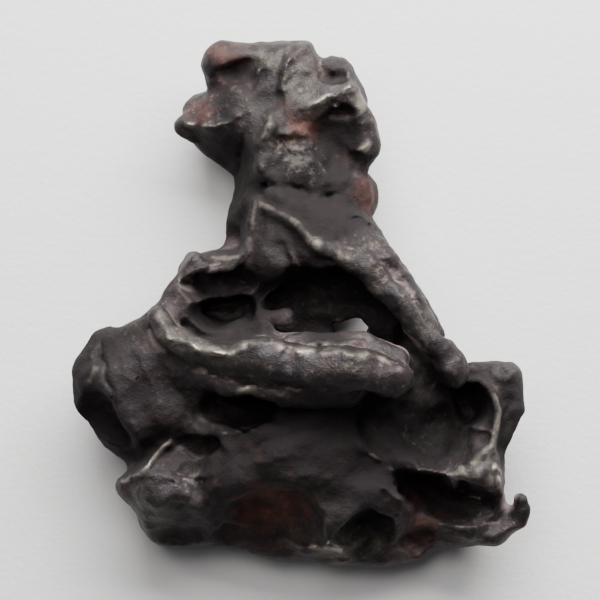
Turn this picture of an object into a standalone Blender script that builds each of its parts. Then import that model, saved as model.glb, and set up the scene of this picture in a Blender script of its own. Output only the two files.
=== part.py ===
"""Pallasite skeleton: a small natural web of iron and nickel whose olivine grains have fallen out.

It is one piece. Rounded masses and bars make the web of metal, each lost grain leaves a hollow with the
grain's rounded form, and thin crests stand where two hollows meet. It lies flat with its long side along Y,
and three worn patches on its underside carry it on the plane z = 0.

Places and sizes in the tables are in squares of a drawing sheet, seen from above: x to the right, y up the
sheet, z up from the plane the piece lies on. SQUARE gives the size of one square.
"""

import bmesh
import bpy
import numpy as np
from mathutils import Matrix

LENGTH = 0.040  # m, along Y, from the lowest edge to the top of the head
SHEET_LENGTH = 52.6  # squares that the length takes on the sheet
SQUARE = LENGTH / SHEET_LENGTH
CENTRE = (30.09, 29.58)  # squares, the point of the sheet above the origin

FUSE_SIZE = 0.40  # squares, the remesh cell that fuses the metal and the cutters
FINISH_SIZE = 0.34  # squares, the remesh cell of the finished surface
SMOOTH_STEPS = 4
SMOOTH_FACTOR = 0.5
MOST_TRIANGLES = 9000

BALL_DETAIL = 4
BAR_SIDES = 4
CREST_STEP = 0.8  # squares between the levels that build a crest downwards
FLOOR_SIZE = 80.0  # squares

NODE = "pallasite_skeleton"
METAL_COLOUR = (0.085, 0.078, 0.076, 1.0)
METAL_ROUGHNESS = 0.42

# The casting wanders off the rounded forms in slow waves: how fast each wave turns along x, y and z,
# where it starts, and how far it pushes along x, y and z, in squares.
WAVES = [
    ((0.62, 0.31, 0.24), 0.4, (0.04, 0.05, 0.14)),
    ((-0.28, 0.71, 0.35), 1.9, (0.06, -0.03, 0.12)),
    ((0.47, -0.58, 0.52), 3.1, (-0.03, 0.05, 0.16)),
    ((0.93, 0.44, -0.61), 5.2, (0.04, 0.04, -0.12)),
    ((-0.81, 1.02, 0.47), 2.6, (0.03, 0.05, 0.10)),
    ((1.25, 0.36, 0.88), 0.9, (0.02, -0.03, 0.10)),
]

# Rounded masses of metal: centre, radii, and the turn about Z in degrees.
MASSES = [
    ("head core", (28.8, 49.2, 6.8), (7.9, 6.2, 4.7), 0),
    ("horn web", (22.6, 46.9, 5.2), (5.2, 3.2, 3.8), -38),
    ("neck", (29.7, 41, 7.2), (6.3, 7.5, 4.8), 4),
    ("red lobe", (35.4, 40.5, 4.2), (2.35, 2.9, 5), 0),
    ("shoulder", (34, 34.2, 7.6), (8, 4.5, 6.2), -54),
    ("peak plate", (28.4, 35.2, 8.6), (4, 4.4, 3.6), 0),
    ("left arm", (21.4, 30.3, 6.5), (4.6, 4, 5.8), 50),
    ("back plate", (30, 27.5, 5.6), (13.3, 8, 5), -12),
    ("left wing", (14.6, 21.3, 7.6), (6.6, 6.6, 5), -30),
    ("tongue root", (22.5, 22.6, 8.4), (7, 3.8, 5), -8),
    ("under tongue", (32.5, 21.8, 8.6), (7.5, 3, 4.4), 0),
    ("lower left block", (17.3, 10.5, 5.4), (5.4, 4.2, 6.4), -50),
    ("block foot", (17.4, 7.2, 4), (2.8, 1.9, 4.4), 0),
    ("middle mass", (28.5, 15.3, 6.8), (11.5, 8.5, 6.8), 0),
    ("lower middle", (33, 10, 5.6), (9, 5.8, 5.8), -5),
    ("right basin body", (43.4, 17.5, 5.4), (7.4, 7, 6), 0),
    ("right lower", (46.2, 12, 5.2), (4, 5.6, 6.2), 0),
    ("corner block", (47.4, 12.6, 7.6), (2.8, 2.6, 4.4), 25),
]

# Bars of metal that join and edge the masses: points along each, with the bar's radius there.
BARS = {
    "upper left horn": [
        (29.5, 53.2, 7.8, 2.6), (25, 53.6, 8, 2.3), (22, 54, 8, 1.9),
    ],
    "upper left horn underside": [
        (26, 52.2, 7, 2.2), (22.3, 52.5, 7, 1.55),
    ],
    "lower left horn": [
        (27, 47, 7.6, 3.4), (22, 47.5, 7.4, 2), (18.5, 47.4, 7.2, 1.2),
    ],
    "top knob": [
        (32.6, 51.2, 7.6, 1.4), (33.8, 52.6, 7.6, 1.25),
    ],
    "head right rim": [
        (33, 51.2, 9.4, 1.4), (35, 49.8, 9.8, 1.35), (36.2, 47.8, 9.4, 1.4), (36.3, 45.4, 8.4, 1.6),
        (35.7, 43.8, 7.2, 1.2),
    ],
    "neck flake": [
        (25.4, 41.5, 6.5, 1.8), (24.4, 38.6, 6, 1.6), (23.7, 36.6, 5.6, 1.2), (23.3, 35.3, 5.4, 0.7),
    ],
    "outer shoulder": [
        (35.8, 36.3, 10, 1.8), (38.5, 33, 10.6, 1.6), (41, 29.9, 10.2, 1.4), (43.1, 26.4, 9.6, 1.3),
    ],
    "left edge": [
        (19.4, 32.9, 9.6, 1), (18.3, 30.8, 9.6, 1.6), (16.6, 28.4, 10.2, 1.5), (13, 25.8, 9, 1.5),
    ],
    "outer left lobe": [
        (10.6, 25.2, 7.5, 1.9), (9.2, 23.2, 7.2, 1.9), (9.3, 20.2, 6.2, 1.9), (11.5, 17, 5.2, 1.9),
        (13.6, 14.8, 5.2, 1.6),
    ],
    "block corner": [
        (15.6, 11.6, 6.2, 1.9), (12.9, 11.2, 7, 1.3),
    ],
    "bottom strip": [
        (21.5, 7.2, 3.8, 1.8), (27, 5.9, 3.6, 1.7), (33, 5.2, 3.6, 1.7), (38, 4.6, 3.4, 1.6),
        (41, 5.2, 3.2, 1.5), (43, 6.6, 3, 1.6),
    ],
    "right ear": [
        (47.6, 22.6, 8.5, 1.3), (50.7, 22, 8.6, 1.75), (51, 19.4, 8.6, 1.5), (49.5, 16, 8.4, 1.25),
        (48.7, 12.6, 8, 1.2), (49.2, 10.4, 7, 1.2), (50, 9.2, 6, 1),
    ],
    "tongue belly": [
        (17.4, 24.2, 10.8, 2.2), (20, 23.4, 12.4, 2.3), (24, 22.2, 13.7, 2.6), (31, 21.9, 14.1, 2.7),
        (37.5, 21.6, 13.2, 2.2),
    ],
    "tongue foot": [
        (20.5, 20.8, 10.4, 1.9), (27, 19.9, 11.2, 2), (33, 19.6, 11.2, 2.1), (38, 19.6, 10.4, 1.9),
    ],
    "tail": [
        (43.2, 7.4, 4.6, 2), (46.5, 7.1, 4.8, 1.9), (49.6, 7, 5.2, 1.7), (51.6, 8, 6.2, 1.1),
        (52.3, 9.2, 7, 0.85), (52.2, 10, 7.4, 0.65),
    ],
}

# Hollows that grains left on the upper side: centre, radii, turn about Z in degrees.
HOLLOWS = [
    ("head right socket", (33.8, 48.3, 12.2), (1.7, 1.1, 4), 15),
    ("head right floor", (33.6, 45.4, 15.4), (3.2, 4.6, 6.8), 15),
    ("neck plate", (30.6, 42.4, 30), (9, 8.5, 19.2), 0),
    ("under horn facet", (20, 43, 16.5), (7.5, 5.9, 10.5), -35),
    ("neck left facet", (22.4, 41, 14.5), (3.9, 6.8, 9), 0),
    ("horn cup", (24.2, 52.8, 12.2), (3.2, 1.15, 4.8), 20),
    ("horn cup side", (22.6, 51.6, 11.8), (2, 1.7, 4.6), 0),
    ("face", (26.5, 50, 19.5), (6, 3.6, 8.6), 20),
    ("top right face", (30.8, 51.4, 17), (3, 3.6, 6.2), 0),
    ("triangle facet", (28.3, 34.6, 17.5), (3.8, 5, 5.9), 0),
    ("big cavity", (34.4, 29.4, 12), (7.8, 3.5, 7.4), -19),
    ("cavity floor", (30.5, 29.2, 9), (4.4, 2.8, 4.6), 0),
    ("cavity right", (41.6, 24.2, 13.2), (2.2, 6.2, 8.6), 24),
    ("left cavity", (22.6, 28.9, 13), (3.9, 2, 9.8), 0),
    ("fin shelf", (22.6, 31.6, 14), (4.8, 2.4, 7.5), 4),
    ("between cavities", (26.2, 30.2, 12.5), (2.6, 2.6, 6.5), 0),
    ("basin north", (42.6, 20.6, 13.5), (3.6, 2.2, 7.3), 0),
    ("hole", (35.1, 27, 4), (1.5, 1.25, 12), 0),
    ("hole slit", (33.9, 26.7, 4), (1.7, 0.35, 12), 0),
    ("lens cavity", (23.7, 18.8, 13), (3.9, 2, 7.4), -4),
    ("dark shelf", (19.6, 15.3, 12.6), (2.5, 1, 3.8), 0),
    ("block top facet", (18.6, 14.1, 18.5), (4.4, 3.3, 8.7), -10),
    ("block lower facet", (17.2, 3.2, 26), (14, 9.2, 21), -4),
    ("block left facet", (11.4, 14.6, 17), (4.4, 3.4, 8.6), 35),
    ("right basin", (43, 17.4, 15), (5.8, 4.9, 9.6), 0),
    ("basin shelf", (39.5, 17, 14), (4.6, 3.2, 5.6), -41),
    ("basin corner", (46.6, 19.3, 12.6), (2.6, 3, 7.4), 0),
    ("groove", (43.5, 10.3, 13), (5.2, 2.5, 9.4), -23),
    ("rust basin", (26.9, 4.2, 15), (7, 8.2, 10.4), -3),
    ("corner dark facet", (48.4, 8.8, 15), (3.2, 3.2, 8.2), -10),
    ("dark arch", (37.1, 5.7, 10.2), (3.4, 4, 5.2), -8),
    ("rusty notch", (41.8, 5.4, 9), (2, 2, 5.2), 35),
    ("wing pit", (9.9, 17.8, 12), (4.6, 2.4, 5.9), -50),
]

# Hollows on the underside and the side walls.
UNDERSIDE_HOLLOWS = [
    ("under middle", (29, 15.2, -2.6), (8.4, 5.6, 6.2), -10),
    ("under left plate", (23.6, 27.6, -4.4), (4.6, 4.8, 6.4), 15),
    ("under plate", (32.6, 25.6, -4.6), (5.2, 4.2, 6.4), -20),
    ("under right", (41.8, 20.6, -3.6), (4.6, 4.6, 6.2), 20),
    ("under wing", (13.6, 20.6, -0.8), (3.8, 4.8, 6.4), -20),
    ("under head", (29.8, 50, -1.6), (5.6, 4.2, 7.2), 10),
    ("under horn", (21.6, 47.4, 0.2), (2.8, 2.6, 4.6), -35),
    ("under neck", (28.6, 42, -1.4), (4.4, 3.8, 6.6), 0),
    ("under peak", (30, 35.2, -2.6), (4.2, 3.2, 5.6), -20),
    ("under shoulder", (38.6, 33.2, -1.6), (2.4, 3, 4.2), -50),
    ("window under arch", (42, 30.2, 0.4), (6.6, 3.2, 3.6), 25),
    ("under arm", (17.6, 31.4, 1), (2.2, 3.4, 4), -40),
    ("block side", (11.2, 8.6, 2.2), (2.2, 3.6, 3.4), -35),
    ("bottom side left", (25, 3.4, 0.6), (4.4, 2.2, 2.6), -10),
    ("bottom side right", (36, 2.2, 0.6), (4.6, 2.2, 2.6), -5),
    ("right side", (52.2, 16.4, 3.4), (2.4, 4.4, 3.4), 10),
    ("right top side", (49, 25.8, 3.6), (3.4, 2.6, 3.8), -15),
    ("wing side", (7.4, 21.8, 3.2), (2.2, 4, 3), 5),
    ("head top side", (27, 57.2, 4.6), (4.8, 2.2, 3.2), 0),
    ("head right side", (39, 47.2, 4), (2.4, 3.8, 3.4), 0),
    ("neck side", (21.8, 38.6, 2.2), (2.2, 4, 3.2), 0),
    ("shoulder side", (44.4, 33, 4.4), (2, 4.4, 3.2), 35),
]

# Bars that bridge the hollows or stand proud of them.
BRIDGES = {
    "arch": [
        (31.8, 35.4, 14, 0.8), (33.8, 34.9, 14.4, 1), (36.2, 33.4, 14.8, 1.2), (38.8, 31, 15, 1.3),
        (40.8, 28.4, 14.6, 1.1), (42.4, 26, 13.8, 1.1), (44.1, 25, 13.4, 1.3), (44.9, 23.8, 13, 1.5),
        (45.3, 22.7, 12.2, 1.4),
    ],
    "arch outside": [
        (35.4, 35.7, 12.2, 2.2), (38.2, 33.2, 12.8, 2), (40.6, 30.2, 12.8, 1.6),
        (42.4, 27.2, 12.2, 1.2),
    ],
    "tongue": [
        (15.9, 28.4, 12.4, 1.1), (17, 26.2, 13.4, 1.4), (20, 24.4, 15, 1.6), (23, 23.4, 15.8, 1.7),
        (26, 24.3, 16.6, 2), (31, 23.4, 16.8, 2.1), (36, 23, 16.6, 2.2), (39.6, 22.2, 15.8, 1.7),
    ],
    "tongue back lip": [
        (29.5, 25.7, 14.2, 1), (33, 25.9, 14.2, 0.9), (36.5, 25.8, 14.2, 1.1), (39.6, 23.9, 14.4, 1.4),
    ],
    "bead": [
        (26.2, 28.2, 8.4, 0.6), (27.6, 28.2, 9.2, 0.6), (28.8, 28.3, 9.6, 0.85),
    ],
    "lower lobe": [
        (36.4, 11.2, 10.2, 1.5), (38.8, 9.8, 9.8, 1.2),
    ],
}

# Thin crests between hollows: how far each reaches down, how much it widens, points with radius.
CRESTS = {
    "tongue root": (3.4, 0.1, [
        (15.9, 28, 12.2, 0.9), (17, 26.2, 13.2, 1.2), (20, 24.4, 14.8, 1.4), (23, 23.6, 15.4, 1.5),
        (26, 23.9, 16, 1.6), (31, 23.2, 16, 1.7),
    ]),
    "peak right": (2.2, 0.5, [
        (25.6, 39.7, 10.8, 0.7), (27.5, 38.6, 11.6, 0.8), (29.8, 37.4, 12.3, 0.7),
        (31.8, 35.3, 13, 0.8),
    ]),
    "peak left": (2.6, 0.1, [
        (25.5, 39.7, 10.8, 0.6), (25.2, 37, 10.9, 0.5), (24.8, 35.2, 10.7, 0.5),
        (23.2, 33.3, 10.3, 0.45), (21, 32.9, 10.1, 0.4), (19.4, 33.8, 10.1, 0.6), (18.9, 33, 9.8, 0.6),
    ]),
    "basin right": (4, 0.2, [
        (46.4, 22, 10.2, 0.3), (47.8, 22.1, 10.5, 0.3), (48.8, 21.2, 10.7, 0.3),
        (49.5, 19.9, 10.9, 0.3), (49.9, 18.6, 11, 0.35), (49.4, 16.6, 11.1, 0.35),
        (49, 15.4, 11.2, 0.4), (47.2, 13.9, 11.4, 0.4), (45.2, 12.5, 11, 0.35),
    ]),
}

# Small notches cut last.
NOTCHES = [
    ("knob groove", (32.2, 55.3, 8), (0.95, 1.5, 9), 0),
    ("knob hollow", (33.4, 52.4, 10.6), (1.9, 1.2, 2.4), 4),
]


def clear_scene():
    for thing in list(bpy.data.objects):
        bpy.data.objects.remove(thing)


def new_collection(name):
    collection = bpy.data.collections.new(name)
    bpy.context.scene.collection.children.link(collection)
    return collection


def placed(name, mesh, collection):
    thing = bpy.data.objects.new(name, mesh)
    collection.objects.link(thing)
    return thing


def as_helper(thing):
    thing.hide_render = True
    thing.display_type = "WIRE"
    return thing


def evaluated_mesh(thing):
    """A new mesh of the object with its modifiers applied."""
    graph = bpy.context.evaluated_depsgraph_get()
    return bpy.data.meshes.new_from_object(thing.evaluated_get(graph))


def add_ball(form, centre, radii, turn=0.0):
    """Adds a ball stretched to three radii, turned about Z, to a bmesh."""
    place = Matrix.Translation(centre) @ Matrix.Rotation(np.radians(turn), 4, "Z")
    place = place @ Matrix.Diagonal((*radii, 1.0))
    bmesh.ops.create_icosphere(form, subdivisions=BALL_DETAIL, radius=1.0, matrix=place)


def add_bar(form, points, helpers):
    """Adds a round bar of changing radius, with a ball at each of its points, to a bmesh."""
    path = bpy.data.curves.new("bar", "CURVE")
    path.dimensions = "3D"
    path.bevel_depth = 1.0
    path.bevel_resolution = BAR_SIDES
    path.use_fill_caps = True
    spline = path.splines.new("POLY")
    spline.points.add(len(points) - 1)
    for point, (x, y, z, radius) in zip(spline.points, points):
        point.co = (x, y, z, 1.0)
        point.radius = radius
        add_ball(form, (x, y, z), (radius, radius, radius))
    guide = placed("bar guide", path, helpers)
    tube = evaluated_mesh(guide)
    bpy.data.objects.remove(guide)
    form.from_mesh(tube)
    bpy.data.meshes.remove(tube)


def add_crest(form, depth, widening, points, helpers):
    """Adds a wall with a round top: bars stacked downwards, each wider than the one above."""
    for fall in np.arange(0.0, depth + 0.01, CREST_STEP):
        level = [(x, y, z - fall, radius + widening * fall) for x, y, z, radius in points]
        add_bar(form, level, helpers)


def mesh_of(form, name):
    bmesh.ops.remove_doubles(form, verts=form.verts, dist=0.0001)
    mesh = bpy.data.meshes.new(name)
    form.to_mesh(mesh)
    form.free()
    return mesh


def fused(name, mesh, helpers, cell):
    """One closed skin around overlapping closed forms."""
    thing = as_helper(placed(name, mesh, helpers))
    skin = thing.modifiers.new("fuse", "REMESH")
    skin.mode = "VOXEL"
    skin.voxel_size = cell
    skin.adaptivity = 0.0
    result = evaluated_mesh(thing)
    bpy.data.objects.remove(thing)
    return result


def cut(mesh, cutter_mesh, helpers):
    """The mesh with the cutter's space taken out of it."""
    thing = as_helper(placed("metal", mesh, helpers))
    cutter = as_helper(placed("cutter", cutter_mesh, helpers))
    away = thing.modifiers.new("cut", "BOOLEAN")
    away.operation = "DIFFERENCE"
    away.solver = "EXACT"
    away.object = cutter
    result = evaluated_mesh(thing)
    bpy.data.objects.remove(thing)
    bpy.data.objects.remove(cutter)
    return result


def web_of_metal(helpers):
    """The masses and bars before any grain has left."""
    form = bmesh.new()
    for _, centre, radii, turn in MASSES:
        add_ball(form, centre, radii, turn)
    for points in BARS.values():
        add_bar(form, points, helpers)
    return fused("web", mesh_of(form, "web"), helpers, FUSE_SIZE)


def grain_spaces(helpers):
    """The space of every lost grain, as one closed skin."""
    form = bmesh.new()
    for _, centre, radii, turn in HOLLOWS + UNDERSIDE_HOLLOWS:
        add_ball(form, centre, radii, turn)
    return fused("grains", mesh_of(form, "grains"), helpers, FUSE_SIZE)


def with_crests(mesh, helpers):
    """The hollowed web with the bars and crests that stand over its hollows."""
    form = bmesh.new()
    form.from_mesh(mesh)
    for points in BRIDGES.values():
        add_bar(form, points, helpers)
    for depth, widening, points in CRESTS.values():
        add_crest(form, depth, widening, points, helpers)
    return fused("crested", mesh_of(form, "crested"), helpers, FINISH_SIZE)


def notch_spaces(helpers):
    form = bmesh.new()
    for _, centre, radii, turn in NOTCHES:
        add_ball(form, centre, radii, turn)
    return fused("notches", mesh_of(form, "notches"), helpers, FINISH_SIZE)


def wander(mesh):
    """Moves each point by the sum of slow sine waves of its place, so no form stays a perfect round."""
    count = len(mesh.vertices)
    flat = np.empty(count * 3, np.float32)
    mesh.vertices.foreach_get("co", flat)
    place = flat.reshape(-1, 3)
    push = np.zeros_like(place)
    for speed, start, reach in WAVES:
        push += np.outer(np.sin(place @ np.array(speed) + start), np.array(reach))
    mesh.vertices.foreach_set("co", (place + push).ravel())


def finished(mesh, helpers):
    """The wandering surface smoothed and brought down to the triangles that the solid can hold."""
    wander(mesh)
    thing = as_helper(placed("finish", mesh, helpers))
    skin = thing.modifiers.new("even", "REMESH")
    skin.mode = "VOXEL"
    skin.voxel_size = FINISH_SIZE
    skin.adaptivity = 0.0
    smooth = thing.modifiers.new("smooth", "SMOOTH")
    smooth.factor = SMOOTH_FACTOR
    smooth.iterations = SMOOTH_STEPS
    even = evaluated_mesh(thing)
    thing.modifiers.clear()
    thing.data = even
    fewer = thing.modifiers.new("fewer", "DECIMATE")
    fewer.use_collapse_triangulate = True
    fewer.ratio = MOST_TRIANGLES / (2 * len(even.polygons))
    result = evaluated_mesh(thing)
    bpy.data.objects.remove(thing)
    return result


def floor_block():
    """A block whose top is the plane z = 0, which wears the three resting patches flat."""
    form = bmesh.new()
    place = Matrix.Translation((CENTRE[0], CENTRE[1], -FLOOR_SIZE / 2))
    bmesh.ops.create_cube(form, size=FLOOR_SIZE, matrix=place)
    return mesh_of(form, "floor")


def metal():
    material = bpy.data.materials.new("weathered meteoric iron")
    material.use_nodes = True
    shader = material.node_tree.nodes["Principled BSDF"]
    shader.inputs["Base Color"].default_value = METAL_COLOUR
    shader.inputs["Metallic"].default_value = 1.0
    shader.inputs["Roughness"].default_value = METAL_ROUGHNESS
    return material


def make_skeleton():
    parts = new_collection("pallasite meteorite")
    helpers = new_collection("cutters")
    hollowed = cut(web_of_metal(helpers), grain_spaces(helpers), helpers)
    crested = cut(with_crests(hollowed, helpers), notch_spaces(helpers), helpers)
    worn = cut(finished(crested, helpers), floor_block(), helpers)
    worn.transform(Matrix.Scale(SQUARE, 4) @ Matrix.Translation((-CENTRE[0], -CENTRE[1], 0.0)))
    skeleton = placed(NODE, worn, parts)
    skeleton.data.name = NODE
    skeleton.data.materials.clear()
    skeleton.data.materials.append(metal())
    skeleton.data.shade_smooth()
    return skeleton


clear_scene()
make_skeleton()
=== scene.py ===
"""Pallasite meteorite: the visible surface, its weathered metal, and a plain table-top studio.

The piece is one web of iron and nickel. Its surface is worked out as the zero level of one smooth function of
place: rounded masses and bars are united, the hollows of the lost olivine grains are taken out, and bars and
thin crests are added over the hollows. Places and sizes are in squares of a drawing sheet seen from above, x to
the right, y up the sheet and z up from the table. SQUARE gives the size of one square in metres.
"""

import bpy
import numpy as np
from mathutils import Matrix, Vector


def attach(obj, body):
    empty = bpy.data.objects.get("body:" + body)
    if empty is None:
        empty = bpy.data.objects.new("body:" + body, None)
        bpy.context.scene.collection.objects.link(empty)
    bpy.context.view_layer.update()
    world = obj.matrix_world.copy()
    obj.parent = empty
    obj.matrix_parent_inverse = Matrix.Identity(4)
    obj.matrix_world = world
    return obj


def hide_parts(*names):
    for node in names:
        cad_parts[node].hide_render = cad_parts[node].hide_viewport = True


NODE = "pallasite_skeleton"
LENGTH = 0.040  # m, along Y
SHEET_LENGTH = 52.6  # squares that the length takes on the sheet
SQUARE = LENGTH / SHEET_LENGTH
CENTRE = np.array([30.09, 29.58, 0.0])  # squares, the point of the sheet at the origin

# The surface is searched for on a grid of FINE_CELL, only near where a COARSE_STEP times coarser grid finds it.
SHEET_LOW = (5.5, 0.5, -1.5)
SHEET_HIGH = (55.0, 58.0, 21.0)
FINE_CELL = 0.24  # squares
COARSE_STEP = 4
MOST_TRIANGLES = 190000
REACH = 2.5  # squares, how far from its own box a form can change the surface
NEAR_SURFACE = 1.5  # squares, how far from the web its finished surface can lie
FAR = 1e3  # squares, beyond every point
TINY = 1e-6  # keeps a division from being by zero
BATCH = 300000  # points worked out at once
SLOPE_STEP = 0.06  # squares, how far from a point its slope is measured
LEAST_STEEPNESS = 0.25  # the least squared slope that a distance is divided by
MOST_MOVE = 0.15  # times the slope, how far a point goes at once on its way to the surface

# The random numbers of a place: factors of its three indices and of the seed, and the steps that scramble
# them, each with how many bits it shifts by and what it multiplies by.
CELL_FACTORS = (73856093, 19349663, 83492791)
SEED_FACTOR = 2654435761
SCRAMBLES = ((15, 2246822519), (13, 3266489917), (16, 1))
FACET_SEED = 11
LUMP_SEED = 31
KNOB_SEED = 51

# How softly each kind of form runs into the rest, in squares.
MASS_BLEND = 1.6
BAR_BLEND = 1.2
HOLLOW_BLEND = 0.5
BRIDGE_BLEND = 0.8
CREST_BLEND = 0.5
NOTCH_BLEND = 0.3

# The casting wanders off the rounded forms in slow waves: how fast each wave turns along x, y and z,
# where it starts, and how far it pushes along x, y and z, in squares.
WAVES = [
    ((0.62, 0.31, 0.24), 0.4, (0.04, 0.05, 0.14)),
    ((-0.28, 0.71, 0.35), 1.9, (0.06, -0.03, 0.12)),
    ((0.47, -0.58, 0.52), 3.1, (-0.03, 0.05, 0.16)),
    ((0.93, 0.44, -0.61), 5.2, (0.04, 0.04, -0.12)),
    ((-0.81, 1.02, 0.47), 2.6, (0.03, 0.05, 0.10)),
    ((1.25, 0.36, 0.88), 0.9, (0.02, -0.03, 0.10)),
]

# The hollows wander more, in shorter waves, so that no two have the same edge.
HOLLOW_WAVES = [
    ((1.10, 0.35, 0.20), 0.7, (0.22, 0.16, 0.06)),
    ((-0.45, 1.25, 0.30), 2.3, (0.20, -0.18, 0.08)),
    ((1.60, -1.10, 0.40), 4.1, (-0.12, 0.14, 0.05)),
    ((0.70, 1.90, -0.50), 5.5, (0.12, 0.10, 0.06)),
]

# Small facets that grain faces pressed into the metal: spacing and depth in squares.
FACETS = ((3.8, 0.34), (1.9, 0.22))
FACET_SCATTER = 0.7  # how far a facet's middle strays, in cells
USUAL_FACET = 0.22

# Uneven skin: size and height of its lumps in squares, and the share of them that smooth metal has too.
LUMPS = ((1.9, 0.12, 0.75), (0.9, 0.09, 0.65), (0.45, 0.065, 0.45))

# Rounded masses of metal: centre, radii, and the turn about Z in degrees.
MASSES = {
    "head core": ((28.8, 49.2, 6.8), (7.9, 6.2, 4.7), 0),
    "horn web": ((22.6, 46.9, 5.2), (5.2, 3.2, 3.8), -38),
    "neck": ((29.7, 41, 7.2), (6.3, 7.5, 4.8), 4),
    "red lobe": ((35.4, 40.5, 4.2), (2.35, 2.9, 5), 0),
    "shoulder": ((34, 34.2, 7.6), (8, 4.5, 6.2), -54),
    "peak plate": ((28.4, 35.2, 8.6), (4, 4.4, 3.6), 0),
    "left arm": ((21.4, 30.3, 6.5), (4.6, 4, 5.8), 50),
    "back plate": ((30, 27.5, 5.6), (13.3, 8, 5), -12),
    "left wing": ((14.6, 21.3, 7.6), (6.6, 6.6, 5), -30),
    "tongue root": ((22.5, 22.6, 8.4), (7, 3.8, 5), -8),
    "under tongue": ((32.5, 21.8, 8.6), (7.5, 3, 4.4), 0),
    "lower left block": ((17.3, 10.5, 5.4), (5.4, 4.2, 6.4), -50),
    "block foot": ((17.4, 7.2, 4), (2.8, 1.9, 4.4), 0),
    "middle mass": ((28.5, 15.3, 6.8), (11.5, 8.5, 6.8), 0),
    "lower middle": ((33, 10, 5.6), (9, 5.8, 5.8), -5),
    "right basin body": ((43.4, 17.5, 5.4), (7.4, 7, 6), 0),
    "right lower": ((46.2, 12, 5.2), (4, 5.6, 6.2), 0),
    "corner block": ((47.4, 12.6, 7.6), (2.8, 2.6, 4.4), 25),
}

# Bars of metal that join and edge the masses: points along each, with the bar's radius there.
BARS = {
    "upper left horn": [
        (29.5, 53.2, 7.8, 2.6), (25, 53.6, 8, 2.3), (22, 54, 8, 1.9),
    ],
    "upper left horn underside": [
        (26, 52.2, 7, 2.2), (22.3, 52.5, 7, 1.55),
    ],
    "lower left horn": [
        (27, 47, 7.6, 3.4), (22, 47.5, 7.4, 2), (18.5, 47.4, 7.2, 1.2),
    ],
    "top knob": [
        (32.6, 51.2, 7.6, 1.4), (33.8, 52.6, 7.6, 1.25),
    ],
    "head right rim": [
        (33, 51.2, 9.4, 1.4), (35, 49.8, 9.8, 1.35), (36.2, 47.8, 9.4, 1.4), (36.3, 45.4, 8.4, 1.6),
        (35.7, 43.8, 7.2, 1.2),
    ],
    "neck flake": [
        (25.4, 41.5, 6.5, 1.8), (24.4, 38.6, 6, 1.6), (23.7, 36.6, 5.6, 1.2), (23.3, 35.3, 5.4, 0.7),
    ],
    "outer shoulder": [
        (35.8, 36.3, 10, 1.8), (38.5, 33, 10.6, 1.6), (41, 29.9, 10.2, 1.4), (43.1, 26.4, 9.6, 1.3),
    ],
    "left edge": [
        (19.4, 32.9, 9.6, 1), (18.3, 30.8, 9.6, 1.6), (16.6, 28.4, 10.2, 1.5), (13, 25.8, 9, 1.5),
    ],
    "outer left lobe": [
        (10.6, 25.2, 7.5, 1.9), (9.2, 23.2, 7.2, 1.9), (9.3, 20.2, 6.2, 1.9), (11.5, 17, 5.2, 1.9),
        (13.6, 14.8, 5.2, 1.6),
    ],
    "block corner": [
        (15.6, 11.6, 6.2, 1.9), (12.9, 11.2, 7, 1.3),
    ],
    "bottom strip": [
        (21.5, 7.2, 3.8, 1.8), (27, 5.9, 3.6, 1.7), (33, 5.2, 3.6, 1.7), (38, 4.6, 3.4, 1.6),
        (41, 5.2, 3.2, 1.5), (43, 6.6, 3, 1.6),
    ],
    "right ear": [
        (47.6, 22.6, 8.5, 1.3), (50.7, 22, 8.6, 1.75), (51, 19.4, 8.6, 1.5), (49.5, 16, 8.4, 1.25),
        (48.7, 12.6, 8, 1.2), (49.2, 10.4, 7, 1.2), (50, 9.2, 6, 1),
    ],
    "tongue belly": [
        (17.4, 24.2, 10.8, 2.2), (20, 23.4, 12.4, 2.3), (24, 22.2, 13.7, 2.6), (31, 21.9, 14.1, 2.7),
        (37.5, 21.6, 13.2, 2.2),
    ],
    "tongue foot": [
        (20.5, 20.8, 10.4, 1.9), (27, 20.1, 10.5, 2), (33, 19.8, 10.3, 2.1), (38, 19.8, 9.6, 1.9),
    ],
    "tail": [
        (43.2, 7.4, 4.6, 2), (46.5, 7.1, 4.8, 1.9), (49.6, 7, 5.2, 1.7), (51.6, 8, 6.2, 1.1),
        (52.3, 9.2, 7, 0.85), (52.2, 10, 7.4, 0.65),
    ],
}

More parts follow.
